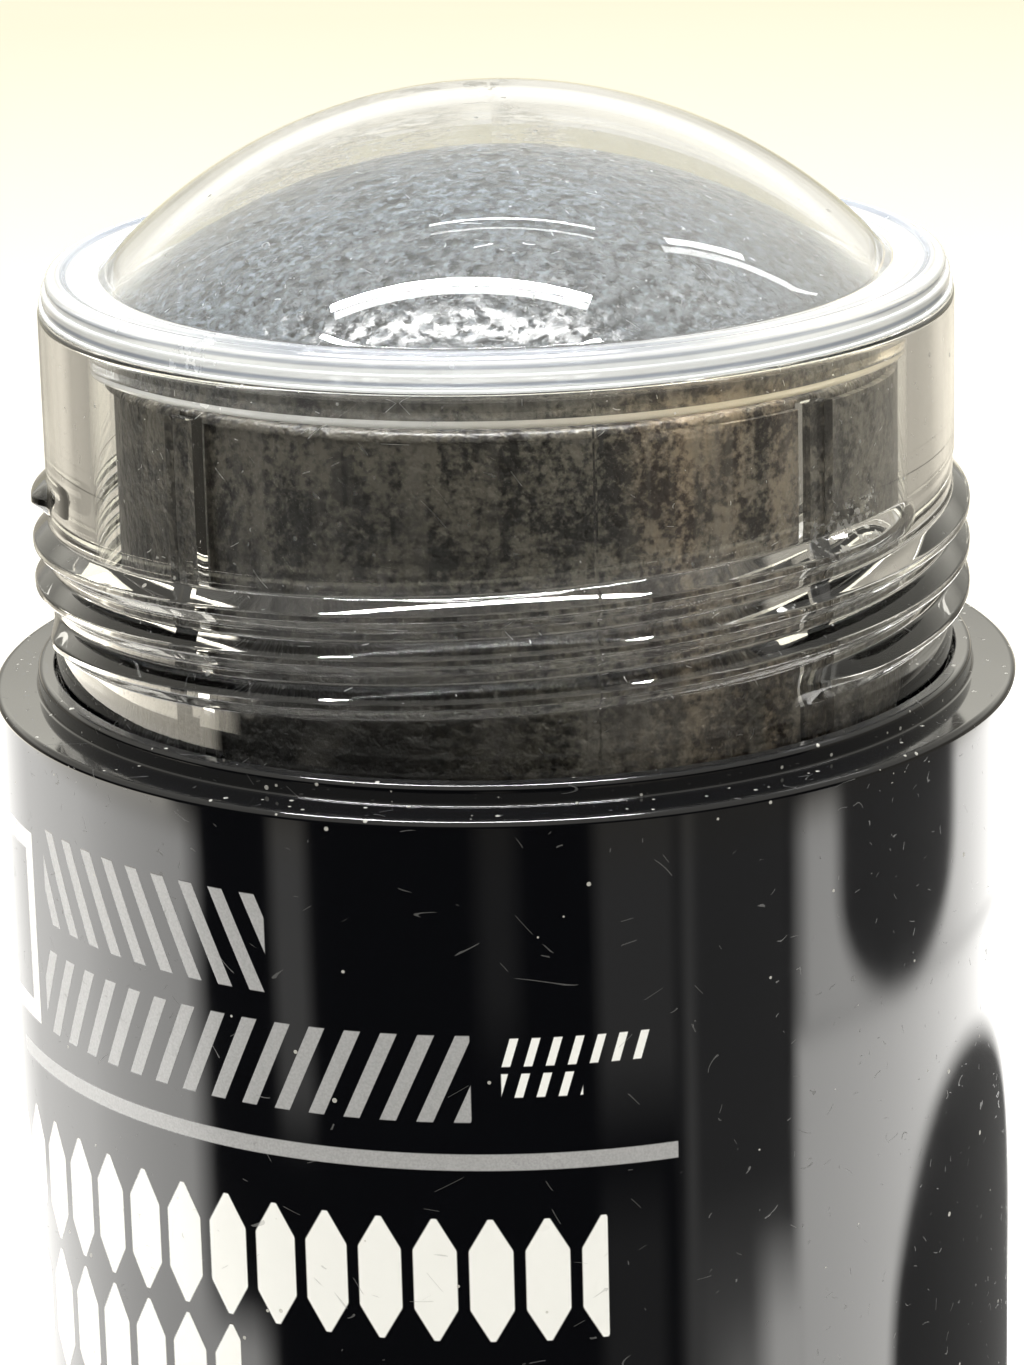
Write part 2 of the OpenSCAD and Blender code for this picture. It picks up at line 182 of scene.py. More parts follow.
def softened(corners, steps=5, hold=0.04):
    """Profile through corners (r, z, round): each corner whose round is over zero becomes an arc
    of that radius, tangent to both of its sides, in steps + 1 points. On each side of it a point
    lies hold away, so that the shading of the straight side stays flat."""
    made = []
    last = len(corners) - 1
    for i, (r, z, size) in enumerate(corners):
        here = np.array([r, z], float)
        if size <= 0 or i in (0, last):
            made.append(here[None, :])
            continue
        back = np.array(corners[i - 1][:2]) - here
        ahead = np.array(corners[i + 1][:2]) - here
        back, ahead = back / np.hypot(*back), ahead / np.hypot(*ahead)
        half = math.acos(max(-1, min(1, back @ ahead))) / 2
        if half > math.pi / 2 - 0.02:
            made.append(here[None, :])
            continue
        middle = (back + ahead) / np.hypot(*(back + ahead))
        centre = here + middle * size / math.sin(half)
        start = here + back * size / math.tan(half) - centre
        end = here + ahead * size / math.tan(half) - centre
        t = np.linspace(0, 1, steps + 1)[:, None]
        turn = math.pi - 2 * half
        arc = (np.sin((1 - t) * turn) * start + np.sin(t * turn) * end) / math.sin(turn)
        made.append((here + back * (size / math.tan(half) + hold))[None, :])
        made.append(centre + arc)
        made.append((here + ahead * (size / math.tan(half) + hold))[None, :])
    return np.vstack(made)


def ring(count, edges=()):
    """Azimuths in degrees: count even steps, and a close pair on each side of the edges."""
    even = np.arange(count) * 360.0 / count
    pairs = np.asarray([e + d for e in edges for d in (-0.02, 0.02)], float) % 360
    return np.unique(np.round(np.concatenate([even, pairs]), 6))


def from_ribs(azimuths):
    """How far each azimuth lies from the nearest of the barrel's four inside ribs, in degrees."""
    return np.min([np.abs((azimuths - rib + 180) % 360 - 180) for rib in RIBS], axis=0)


def lattice_noise(x, y, cell, seed, wrap=0):
    """Smooth noise from -1 to 1: random values on a square lattice of that cell, blended with
    the curve 3t^2 - 2t^3 between lattice points. wrap is the lattice's period along x."""
    values = np.random.default_rng(seed).uniform(-1, 1, (512, 512))
    u, v = x / cell, y / cell
    iu, iv = np.floor(u).astype(int), np.floor(v).astype(int)
    fu, fv = u - iu, v - iv
    fu, fv = fu * fu * (3 - 2 * fu), fv * fv * (3 - 2 * fv)
    period = wrap if wrap else 512
    a, b = iu % period, (iu + 1) % period
    c, d = iv % 512, (iv + 1) % 512
    low = values[a, c] * (1 - fu) + values[b, c] * fu
    high = values[a, d] * (1 - fu) + values[b, d] * fu
    return low * (1 - fv) + high * fv


def smooth(t):
    """The curve 3t^2 - 2t^3, held at 0 below 0 and at 1 above 1."""
    t = np.clip(t, 0, 1)
    return t * t * (3 - 2 * t)


def rounded(t, k):
    """The straight line from 0 to 1 with both of its corners rounded over a share k."""
    t = np.clip(t, 0, 1)
    low, high = t * t / (2 * k), 1 - k - (1 - t) ** 2 / (2 * k)
    return np.where(t < k, low, np.where(t > 1 - k, high, t - k / 2)) / (1 - k)


def ridge_height(az, z, depth, width):
    """Height of the cap thread over its band at azimuth az and height z. Each of three starts
    climbs 6.15 a turn for about 1.055 turns to end 9.8 over the shoulder. A ridge has slightly
    full flanks and a narrow crest with small rounds between. Its ends fade, one more bluntly."""
    lead, turns, top = 6.15, 1.055, SHOULDER + 9.8
    height = np.zeros(np.broadcast(az, z).shape)
    for start, longer, blunt in ((-34, 6, 0.04), (86, 0, 0.04), (206, -15, 0.012)):
        first = start - 360 * turns
        end = 1 + longer / (360 * turns)
        for lap in range(3):
            t = ((az - first) % 360 + 360 * lap) / (360 * turns)
            middle = top - lead * turns * (1 - t)
            flank = np.clip((width / 2 - np.abs(z - middle)) / (width * 0.43), 0, 1)
            across = rounded(flank, 0.12) + 0.03 * np.sin(math.pi * flank)
            fade = smooth(t / 0.04) * smooth((end - t) / blunt)
            height = np.maximum(height, np.where(t <= end, depth * across * fade, 0))
    return height


# Shader nodes


def by_node(operation):
    """A method that adds the Math node of that operation, on a value and on what it is given."""
    return lambda value, *others: value.net.math(operation, value, *others)


class Value:
    """A number in a node tree. Arithmetic on it adds the Math nodes that work it out. On masks,
    | takes the greater one, and a comparison is 1 where it holds."""

    __add__, __sub__, __mul__ = by_node("ADD"), by_node("SUBTRACT"), by_node("MULTIPLY")
    __or__, __gt__, __lt__ = by_node("MAXIMUM"), by_node("GREATER_THAN"), by_node("LESS_THAN")
    __abs__, __rmul__, __ror__ = by_node("ABSOLUTE"), __mul__, __or__

    def __init__(self, net, socket):
        self.net, self.socket = net, socket

    def __rsub__(self, other):
        return self.net.math("SUBTRACT", other, self)

    def held(self):
        """The same value, its last step held between 0 and 1."""
        self.socket.node.use_clamp = True
        return self


class Net:
    """Adds nodes to one tree, so that a formula in a material reads as one line."""

    def __init__(self, tree):
        self.tree = tree

    def put(self, kind, inputs=None, **settings):
        node = self.tree.nodes.new(kind)
        for key, value in settings.items():
            setattr(node, key, value)
        for key, value in (inputs or {}).items():
            self.feed(node.inputs[key], value)
        return node

    def read(self, kind, inputs=None, *names):
        """The named outputs of a new node as values, or all of them where none is named."""
        found = self.put(kind, inputs).outputs
        return [Value(self, found[key]) for key in names or range(len(found))]

    def feed(self, socket, value):
        value = value.socket if isinstance(value, Value) else value
        if isinstance(value, bpy.types.NodeSocket):
            self.tree.links.new(value, socket)
        elif hasattr(socket.default_value, "__len__") and len(socket.default_value) == 4:
            socket.default_value = (*value[:3], 1) if hasattr(value, "__len__") else (value,) * 3 + (1,)
        else:
            socket.default_value = value

    def join(self, outputs, inputs):
        for one, other in zip(outputs, inputs):
            self.feed(other, one)

    def math(self, operation, *values):
        node = self.put("ShaderNodeMath", operation=operation)
        self.join(values, node.inputs)
        return Value(self, node.outputs[0])

    def band(self, value, low, high, soft=0.05):
        """1 where value lies between low and high, with edges that are soft wide."""
        up = ((value - low) * (1 / soft)).held()
        down = ((high - value) * (1 / soft)).held()
        return up * down

    def mix(self, factor, a, b):
        node = self.put("ShaderNodeMix", {"Factor": factor, 6: a, 7: b}, data_type="RGBA")
        return node.outputs[2]

    def blend(self, factor, one, other):
        """The shader of node one where the factor is 0, and that of node other where it is 1."""
        node = self.put("ShaderNodeMixShader")
        self.join((factor, one.outputs[0], other.outputs[0]), node.inputs)
        return node

    def direct(self):
        """1 for what the camera, gloss and clear plastic see, and 1 for clear plastic alone."""
        camera, gloss, through = self.read("ShaderNodeLightPath", {}, "Is Camera Ray",
                                           "Is Glossy Ray", "Is Transmission Ray")
        return camera | gloss | through, through

    def ramp(self, value, low, high, to_low=0.0, to_high=1.0):
        return self.read("ShaderNodeMapRange", {
            "Value": value, "From Min": low, "From Max": high, "To Min": to_low, "To Max": to_high})[0]

    def noise(self, vector, scale, detail=2.0, roughness=0.5, distortion=0.0):
        return self.read("ShaderNodeTexNoise", {
            "Vector": vector, "Scale": scale, "Detail": detail, "Roughness": roughness,
            "Distortion": distortion}, "Fac")[0]

    def stretched(self, vector, z):
        """Coordinates with their height times z. Under 1, a pattern on them grows tall."""
        return self.put("ShaderNodeMapping", {"Vector": vector, "Scale": (1, 1, z)}).outputs[0]

    def scratches(self, vector, scale, width, share):
        return self.group(fine_scratches(), Vector=vector, Scale=scale, Width=width, Share=share)[0]

    def specks(self, vector, scale, size, share):
        return self.group(dust_specks(), Vector=vector, Scale=scale, Size=size, Share=share)[0]

    def around(self, vector, radius=1.0):
        return self.group(around_axis(), Vector=vector, Radius=radius)

    def group(self, tree, **inputs):
        node = self.put("ShaderNodeGroup", node_tree=tree)
        for key, value in inputs.items():
            self.feed(node.inputs[key], value)
        return [Value(self, socket) for socket in node.outputs]


def new_group(name, inputs, outputs):
    """An empty node group: its tree, its net, its inputs as values and the sockets to feed. In
    inputs a number is the default of a float, and None makes a vector. Outputs are floats."""
    tree = bpy.data.node_groups.new(name, "ShaderNodeTree")
    for label, default in inputs.items():
        kind = "NodeSocketVector" if default is None else "NodeSocketFloat"
        socket = tree.interface.new_socket(label, in_out="INPUT", socket_type=kind)
        if default is not None:
            socket.default_value = default
    for label in outputs:
        tree.interface.new_socket(label, in_out="OUTPUT", socket_type="NodeSocketFloat")
    net = Net(tree)
    return tree, net, net.read("NodeGroupInput", {}, *inputs), net.put("NodeGroupOutput").inputs


@functools.cache
def fine_scratches():
    """Group: thin straight scratches. Noise is stretched along three directions, and a scratch
    is where it crosses its middle value, kept only inside patches of a coarse noise."""
    tree, net, (vector, scale, width, share), out = new_group(
        "Fine scratches", {"Vector": None, "Scale": 1.0, "Width": 0.004, "Share": 0.5}, ["Mask"])
    total = 0.0
    for turn, shift in ((0.75, 0.0), (-1.0, 3.1), (1.45, 7.7)):
        turned_by = net.put("ShaderNodeMapping", {
            "Vector": vector, "Location": (shift, shift, shift),
            "Rotation": (turn * 0.3, turn, turn * 0.4)}).outputs[0]
        mapped = net.stretched(turned_by, 0.10)
        line = abs(net.noise(mapped, scale * 900, 0.0) - 0.5) < width
        kept = net.noise(mapped, scale * 1500, 1.0) > 1.0 - share * 0.7
        total = total | line * kept
    net.join([total], out)
    return tree


@functools.cache
def dust_specks():
    """Group: small round specks. Each cell of a Voronoi lattice may hold one, of its own size."""
    tree, net, (vector, scale, size, share), out = new_group(
        "Dust specks", {"Vector": None, "Scale": 1000.0, "Size": 0.2, "Share": 0.3}, ["Mask"])
    distance, colour = net.read("ShaderNodeTexVoronoi", {"Vector": vector, "Scale": scale},
                                "Distance", "Color")
    luck, growth, _ = net.read("ShaderNodeSeparateColor", {"Color": colour})
    speck = distance < size * (growth + 0.35)
    net.join([speck * (luck < share)], out)
    return tree


@functools.cache
def around_axis():
    """Group: splits Object coordinates into the arc length from the front, positive towards +X,
    on a given radius, the height, the azimuth from the front in degrees, and the distance from
    the axis. Lengths are in mm."""
    tree, net, (vector, radius), out = new_group(
        "Around the axis", {"Vector": None, "Radius": 25.0}, ["Arc", "Height", "Azimuth", "Reach"])
    x, y, z = net.read("ShaderNodeSeparateXYZ", {"Vector": vector})
    turn = net.math("ARCTAN2", x, y * -1.0)
    reach = net.math("SQRT", x * x + y * y)
    net.join([turn * radius, z * 1000, net.math("DEGREES", turn), reach * 1000], out)
    return tree


def cleared(owner):
    """The net over an owner's node tree, with no node left in it."""
    owner.use_nodes = True
    owner.node_tree.nodes.clear()
    return Net(owner.node_tree)


def bare_material(name):
    """A material that holds its Object coordinates alone."""
    material = bpy.data.materials.new(name)
    net = cleared(material)
    return material, net, net.put("ShaderNodeTexCoord").outputs["Object"]


def new_material(name, film=None, **settings):
    """A material with its Principled BSDF, whose plain sockets take the given settings. Shadow
    rays pass clear plastic as through a film of the given tint, so it casts no dark shadow."""
    material, net, place = bare_material(name)
    bsdf = net.put("ShaderNodeBsdfPrincipled", {k.replace("_", " "): v for k, v in settings.items()})
    shown = bsdf
    if film is not None:
        shadow = net.read("ShaderNodeLightPath", {}, "Is Shadow Ray")[0]
        shown = net.blend(shadow, bsdf, net.put("ShaderNodeBsdfTransparent", {"Color": film}))
    net.put("ShaderNodeOutputMaterial", {"Surface": shown.outputs[0]})
    return material, net, bsdf, place


def dress(net, bsdf, colour, rough, surface, depth, strength=1.0):
    """Feeds the shader's colour, its roughness and a bump of surface times depth in mm."""
    node = net.put("ShaderNodeBump", {"Height": surface, "Distance": depth * MM,
                                      "Strength": strength})
    for key, value in (("Base Color", colour), ("Roughness", rough), ("Normal", node.outputs[0])):
        net.feed(bsdf.inputs[key], value)


# The printed label's fields: (left, right, low, high), by arc from the front and height, in mm
UPPER_BARS, LOWER_BARS = (-27.0, -11.6, 63.2, 67.9), (-27.5, -2.0, 57.6, 61.85)
UPPER_DASHES, LOWER_DASHES = (-0.65, 6.3, 60.3, 61.7), (-0.65, 3.1, 58.8, 60.0)
UPPER_TILES, LOWER_TILES = (-32.4, 4.1, 46.8, 52.9), (-31.0, -13.8, 39.9, 46.3)
BLOCK, BLOCK_HOLE = (-36.6, -28.4, 57.5, 67.2), (-35.6, -29.3, 58.5, 66.2)
RULE = (-31.2, 7.5, 55.25, 56.1)
BAR_PITCH, BAR_WIDTH, BAR_SLOPE = 1.72, 0.8, 0.45
DASH_PITCH, DASH_WIDTH, DASH_SLOPE = 1.0, 0.42, -0.3
TILE_PITCH, TILE_HALF = 2.6, 1.05


@functools.cache
def label_print():
    """Group: the generic print on the shell, as a silver mask and a white mask. Two silver rows
    of slanted bars, a silver rule, small white dashes, and two rows of tall white lozenges."""
    tree, net, (arc, height), out = new_group(
        "Label print", {"Arc": 0.0, "Height": 0.0}, ["Silver", "White"])

    def field(left, right, low, high):
        return net.band(arc, left, right) * net.band(height, low, high)

    def bars(pitch, width, slope):
        """1 on bars of that width, a pitch apart, that lean by slope, a share of their height."""
        lean = arc + height * slope
        phase = abs(net.math("FRACT", lean * (1 / pitch)) - 0.5)
        return net.band(phase, -1, width / pitch / 2, 0.03 / pitch)

    def lozenges(middle, half_h):
        """1 on upright pointed tiles: |x| / w and 0.55 |x| / w + |y| / h are both held under 1."""
        x = abs((net.math("FRACT", arc * (1 / TILE_PITCH)) - 0.5) * TILE_PITCH)
        y = abs(height - middle)
        side = ((TILE_HALF - x) * 16).held()
        tip = ((1.0 - (x * (0.55 / TILE_HALF) + y * (1 / half_h))) * 24).held()
        return side * tip

    top_row = field(*UPPER_BARS) * bars(BAR_PITCH, BAR_WIDTH, BAR_SLOPE)
    low_row = field(*LOWER_BARS) * bars(BAR_PITCH, BAR_WIDTH, -BAR_SLOPE)
    silver = field(*RULE) | top_row | low_row
    dashes = (field(*UPPER_DASHES) | field(*LOWER_DASHES)) * bars(DASH_PITCH, DASH_WIDTH, DASH_SLOPE)
    tiles = field(*UPPER_TILES) * lozenges(49.85, 3.3)
    low_tiles = field(*LOWER_TILES) * lozenges(43.1, 3.4)
    block = (field(*BLOCK) - field(*BLOCK_HOLE)).held()
    net.join([silver, dashes | block | tiles | low_tiles], out)
    return tree


# Finishes


def black_shell():
    """Glossy black moulding: smudged gloss, hair scratches, dust, and the flat label print."""
    looks = bpy.context.scene.stick_shell
    material, net, bsdf, place = new_material("Black shell", IOR=1.5)
    arc, height, _, _ = net.around(place, 25.0)
    silver, white = net.group(label_print(), Arc=arc, Height=height)
    scratches = net.scratches(place, 1.0, 0.006, 0.46)
    grain = net.noise(place, 9000, 2.0)
    ink_grey = net.mix(net.ramp(grain, 0.35, 0.65), looks.silver, [c * 0.82 for c in looks.silver])
    colour = net.mix(white, net.mix(silver, looks.colour, ink_grey), looks.white)
    near_edge = net.band(height, SHOULDER - 1.2, SHOULDER + 2, 1.2)
    share = near_edge * looks.dust + looks.dust * 0.10
    fine = net.specks(place, 1700.0, 0.16, share)
    coarse = net.specks(place, 700.0, 0.075, share * 0.8)
    specks = fine | coarse
    colour = net.mix(specks * 0.75, colour, (0.55, 0.54, 0.50))
    colour = net.mix(scratches * 0.35, colour, (0.2, 0.2, 0.2))
    smudge = net.ramp(net.noise(place, 90, 4.0, 0.6), 0.35, 0.75, 0.05, 0.12)
    ink = silver | white
    rough = smudge + ink * 0.22 + scratches * 0.3 + specks * 0.4
    waves = net.noise(place, 55, 1.0)
    surface = waves * 0.35 + ink * 0.02 + scratches * -0.02 + specks * 0.06
    dress(net, bsdf, colour, rough, surface, 0.25)
    return material


def black_dial():
    """The same black plastic, plain, with a little more handling wear."""
    looks = bpy.context.scene.stick_shell
    material, net, bsdf, place = new_material("Black dial", IOR=1.5)
    scratches = net.scratches(place, 1.2, 0.008, 0.5)
    specks = net.specks(place, 1500.0, 0.16, 0.08)
    colour = net.mix(specks * 0.7, looks.colour, (0.5, 0.5, 0.47))
    colour = net.mix(scratches * 0.3, colour, (0.2, 0.2, 0.2))
    smudge = net.ramp(net.noise(place, 120, 4.0, 0.6), 0.3, 0.75, 0.10, 0.22)
    surface = net.noise(place, 4200, 2.0) + scratches * -0.5
    dress(net, bsdf, colour, smudge + scratches * 0.3, surface, 0.01)
    return material


def plain_black():
    """Matt black moulding of the bearing plate, with a fine spark texture."""
    material, net, bsdf, place = new_material("Plain black", IOR=1.5)
    grain = net.noise(place, 5200, 3.0, 0.65)
    colour = net.mix(grain, (0.025, 0.025, 0.027), (0.055, 0.055, 0.058))
    dress(net, bsdf, colour, net.ramp(grain, 0.3, 0.7, 0.38, 0.55), grain, 0.03)
    return material


def natural_plastic():
    """Unpigmented moulded plastic: off-white, waxy, with faint flow clouds."""
    material, net, bsdf, place = new_material(
        "Natural plastic", IOR=1.5, Subsurface_Weight=0.25, Subsurface_Scale=0.002)
    cloud = net.noise(place, 160, 4.0, 0.55)
    colour = net.mix(net.ramp(cloud, 0.35, 0.65), (0.80, 0.80, 0.76), (0.70, 0.70, 0.66))
    rough = net.ramp(cloud, 0.3, 0.7, 0.36, 0.5)
    dress(net, bsdf, colour, rough, net.noise(place, 3800, 2.0), 0.015)
    return material


def clear_neck():
    """Clear barrel: polished, with the mould's parting line, a few dimples, scratches, and the
    dust caught where a ridge fades. The bore inside is left smooth."""
    looks = bpy.context.scene.stick_clear
    material, net, bsdf, place = new_material(
        "Clear neck", looks.tint, IOR=looks.ior, Transmission_Weight=1.0)
    arc, height, _, reach = net.around(place, 22.0)
    scratches = net.scratches(place, 1.3, 0.006, 0.42)
    specks = net.specks(place, 1400.0, 0.15, 0.06)
    run_out = net.band(arc, 14.6, 20.4, 0.8) * net.band(height - arc * 0.1, 79.6, 82.2, 0.5)
    caught = run_out * (net.noise(place, 2600, 3.0) > 0.58)
    outside = reach > BARREL_R + 0.5
    marks = (scratches | specks | caught) * outside
    smudge = net.ramp(net.noise(place, 140, 3.0), 0.4, 0.8, 0.012, 0.03)
    seam = (1.0 - abs(arc - 4.25) * 11.0).held()
    distance, colour = net.read("ShaderNodeTexVoronoi", {"Vector": place, "Scale": 150.0},
                                "Distance", "Color")
    luck = net.read("ShaderNodeSeparateColor", {"Color": colour})[0]
    dimple = (luck < 0.10) * (1.0 - distance * 14.0).held()
    waves = net.noise(place, 70, 1.0)
    surface = waves * 0.5 + seam * 0.16 + dimple * -0.5 + marks * 0.05
    dress(net, bsdf, looks.tint, smudge + marks * 0.35, surface * outside, 0.25)
    return material


def clear_seal():
    """Clear seal: polished, with creamy scuffs round the left and the back of the dome."""
    looks = bpy.context.scene.stick_clear
    material, net, bsdf, place = new_material(
        "Clear seal", looks.tint, IOR=looks.ior, Transmission_Weight=1.0)
    _, height, azimuth, _ = net.around(place, 19.0)
    rubbed = net.band(azimuth, -175, -100, 25) | net.band(azimuth, 160, 182, 10)
    ragged = net.noise(net.stretched(place, 3.5), 520, 5.0, 0.68, 0.4)
    scuffs = rubbed * net.band(height, 93.2, 100.2, 0.8) * net.ramp(ragged, 0.52, 0.60)
    colour = net.mix(scuffs, looks.tint, (0.74, 0.68, 0.55))
    scratches = net.scratches(place, 1.3, 0.005, 0.42)
    specks = net.specks(place, 1500.0, 0.14, 0.04)
    marks = scratches | specks | scuffs
    surface = net.noise(place, 60, 1.0) * 0.3 + marks * 0.12
    dress(net, bsdf, colour, marks * 0.3 + 0.012, surface, 0.25)
    return material


def milky_flange():
    """The seal's flange and the end of its plug: the same clear plastic, part milky, with fine
    rings from the tool and the scarred stub of the gate on the flange's front left. Painted shade
    lays dark bands on the flange's top and side and darkens the top at the front, and the light
    gaps between the bands are painted reflection lines."""
    looks = bpy.context.scene.stick_clear
    material, net, bsdf, place = new_material(
        "Milky flange", looks.tint, IOR=looks.ior, Transmission_Weight=0.4)
    _, height, azimuth, reach = net.around(place, 21.5)
    rise = height - RIM
    # Painted shade: dark bands on the flange's top (the rings named beads here, and the top at the
    # front) and on its side; the light gaps between them are painted reflection lines.
    beads = net.band(reach, 20.5, 20.95, 0.1) | net.band(reach, 19.2, 19.8, 0.2) * 0.6
    top = (beads | net.band(azimuth, -48, 34, 22) * 0.75) * (rise > 0)
    side = net.band(rise, 0.28, 0.58, 0.1) | net.band(rise, 1.05, 1.32, 0.08) * 0.8
    painted_shade_bands = top * (reach < 21.3) | side * (reach > 21.3)
    colour = net.mix(painted_shade_bands, (0.97, 0.99, 1.0), (0.42, 0.46, 0.54))
    x = net.read("ShaderNodeSeparateXYZ", {"Vector": place})[0]
    plug_end = net.mix(net.ramp(x, -0.004, 0.009), (1.0, 1.0, 0.98), (1.0, 0.88, 0.64))
    colour = net.mix(rise < -0.8, colour, plug_end)
    rings = net.math("SINE", reach * (2 * math.pi / 0.24))
    gate = net.band(azimuth, -43.0, -37.0, 1.0) * (net.noise(place, 1500, 3.0, 0.6) > 0.52)
    specks = net.specks(place, 1500.0, 0.16, 0.10)
    marks = gate | specks
    haze = net.ramp(net.noise(place, 260, 3.0), 0.35, 0.7, 0.08, 0.22)
    dress(net, bsdf, colour, haze + marks * 0.3, rings * 0.03 + marks * 0.3, 0.25)
    return material


def charcoal():
    """Charcoal product: gritty and pitted, mottled blue-grey on the crown, browner and streaked
    upright where it was poured against the barrel, with a waxy gloss at the crown's front."""
    looks = bpy.context.scene.stick_product
    material, net, bsdf, place = new_material("Charcoal product", IOR=1.45, Coat_Roughness=0.15)
    arc, height, _, _ = net.around(place, 19.5)
    x, y, _ = net.read("ShaderNodeSeparateXYZ", {"Vector": place})
    grit = net.noise(place, 1700, 2.0, 0.6)
    grain = net.noise(place, 2600, 3.0, 0.65)
    dark, darkest, pale, palest = ([c * k for c in looks.colour] for k in (0.3, 0.25, 1.45, 4.2))
    crown = net.mix(net.ramp(grit, 0.36, 0.62), darkest, pale)
    crown = net.mix(net.ramp(grain, 0.50, 0.68, 0.0, 0.6), crown, palest)
    # Painted light: the crown is painted greyer towards +X, a lighter right side.
    crown = net.mix(net.ramp(x, 0.0, 0.016, 0.0, 0.4), crown, (0.14, 0.14, 0.135))
    # Painted shade: the crown's front, round its highlight, is mixed towards the darker tone.
    front = net.ramp(y, -0.007, -0.015) * net.band(x, -0.012, 0.008, 0.004)
    crown = net.mix(front * 0.6, crown, dark)
    waxy = net.ramp(y, -0.007, -0.012) * net.band(x, -0.013, 0.011, 0.003)
    net.feed(bsdf.inputs["Coat Weight"], waxy * net.ramp(grit, 0.42, 0.52))
    blots = net.noise(net.stretched(place, 0.6), 520, 4.0, 0.62, 0.4)
    spots = blots * 0.5 + grain * 0.5
    pressed = net.mix(net.ramp(spots, 0.45, 0.56), (0.006, 0.005, 0.004), (0.074, 0.067, 0.052))
    brown = net.mix(net.ramp(spots, 0.44, 0.56), (0.030, 0.018, 0.010), (0.18, 0.135, 0.085))
    warm = net.band(arc, 4.5, 17.0, 3.0) * net.ramp(
        net.noise(net.stretched(place, 0.12), 330, 3.0), 0.35, 0.62)
    pressed = net.mix(warm * 0.6, pressed, brown)
    streak = net.noise(net.stretched(place, 0.04), 900, 2.0)
    pressed = net.mix(net.ramp(streak, 0.52, 0.66, 0.0, 0.45), pressed, (0.085, 0.078, 0.064))
    # Painted shade: the pressed sides are scaled darker towards the bottom near the collar, far more on
    # the left than on the right, and lighter on the right.
    left = net.ramp(height, SHOULDER + 2, RIM - 3, 0.04, 1.05)
    right = net.ramp(height, SHOULDER + 2, RIM - 3, 0.85, 1.5)
    level = net.ramp(arc, -5.0, 7.0) * (right - left) + left
    pressed = net.put("ShaderNodeVectorMath", {0: pressed, "Scale": level}, operation="SCALE").outputs[0]
    cast = net.ramp(height, RIM - 1.6, RIM + 0.4)
    shine = net.ramp(net.noise(place, 900, 1.0), 0.3, 0.7, 0.05, 0.13)
    rough = shine + (1.0 - cast) * 0.4
    pits = net.read("ShaderNodeTexVoronoi", {"Vector": place, "Scale": 1400.0}, "Distance")[0]
    dress(net, bsdf, net.mix(cast, pressed, crown), rough, grit + pits * -0.35, 0.22, 0.95)
    return material


# Pieces


class STICK_OT_shell(bpy.types.Operator):
    """Turn the black shell with its shoulder bevel and the rounded collar"""
    bl_idname = "stick.shell"
    bl_label = "Black shell"

    def execute(self, context):
        hole, collar = NECK_R + 0.05, NECK_R + 0.85
        profile = softened([
            (BODY_R - 0.3, SHELL_LOW, 0.08), (BODY_R, SHELL_LOW + 0.3, 0.15),
            (BODY_R, SHOULDER - 6, 0), (BODY_R, SHOULDER, 0.3), (collar, SHOULDER, 0.12),
            (collar, COLLAR_TOP, 0.26), (hole, COLLAR_TOP, 0.08), (hole, SHOULDER - 1.6, 0.1),
            (BORE_R, SHOULDER - 1.6, 0.1), (BORE_R, SHELL_LOW + 1.2, 0),
            (BORE_R - 0.35, SHELL_LOW + 0.85, 0.08), (BORE_R, SHELL_LOW + 0.5, 0),
            (BORE_R, SHELL_LOW, 0.05), (BODY_R - 0.3, SHELL_LOW, 0.08)])
        piece = skin("black_shell", turned(profile[:-1], ring(360)), loop=True, crease=30)
        piece.data.materials.append(black_shell())
        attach(piece, "case")
        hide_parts("outer_shell")
        return {"FINISHED"}


class STICK_OT_barrel(bpy.types.Operator):
    """Shape the clear barrel: the cap thread outside, the guide ribs inside"""
    bl_idname = "stick.barrel"
    bl_label = "Clear barrel"

    def execute(self, context):
        looks = context.scene.stick_clear
        flange_r, band_low, band_high = BORE_R - 0.05, SHOULDER + 0.5, SHOULDER + 10.95
        rib_tip, rib_top, rib_half = BARREL_R - 0.8, SEAL_LOW - 0.5, math.degrees(0.7 / BARREL_R)
        azimuths = ring(336, [rib + side for rib in RIBS for side in (-rib_half, rib_half)])
        outside = softened([
            (BARREL_R, BARREL_LOW, 0), (flange_r, BARREL_LOW, 0.1),
            (flange_r, BARREL_LOW + 2, 0.1), (NECK_R, BARREL_LOW + 2, 0.2),
            (NECK_R, SHOULDER - 3.6, 0.2), (flange_r, SHOULDER - 3.6, 0.1),
            (flange_r, SHOULDER - 1.6, 0.1), (NECK_R, SHOULDER - 1.6, 0.1),
            (NECK_R, band_low, 0)], steps=3)
        z = np.linspace(band_low + 0.02, band_high - 0.02, 200)
        band = np.stack([np.full_like(z, NECK_R - 0.08), z], -1)
        top = softened([
            (NECK_R, band_high, 0), (NECK_R, RIM, 0.3), (BARREL_R, RIM, 0.12),
            (BARREL_R, SEAL_LOW, 0), (BARREL_R, rib_top + 0.03, 0), (BARREL_R, rib_top - 0.03, 0),
            (BARREL_R, 60, 0), (BARREL_R, 30, 0), (BARREL_R, BARREL_LOW + 0.02, 0)])
        grid = turned(np.vstack([outside, band, top]), azimuths)
        rows = slice(len(outside), len(outside) + len(band))
        grown = ridge_height(azimuths[None, :], band[:, 1, None], looks.ridge_depth + 0.08,
                             looks.ridge_width)
        grid[rows, :, :2] *= (1 + grown / (NECK_R - 0.08))[..., None]
        radius, level = np.hypot(grid[..., 0], grid[..., 1]), grid[..., 2]
        on_rib = (from_ribs(azimuths) < rib_half)[None, :]
        inside = (radius < BARREL_R + 0.01) & (level < rib_top)
        inner_rows = np.arange(len(grid))[:, None] >= rows.stop
        shrink = np.where(inside & on_rib & inner_rows, rib_tip / BARREL_R, 1.0)
        grid[..., :2] *= shrink[..., None]
        piece = skin("clear_barrel_skin", grid, loop=True, crease=45)
        piece.data.materials.append(clear_neck())
        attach(piece, "case")
        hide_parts("clear_barrel")
        return {"FINISHED"}


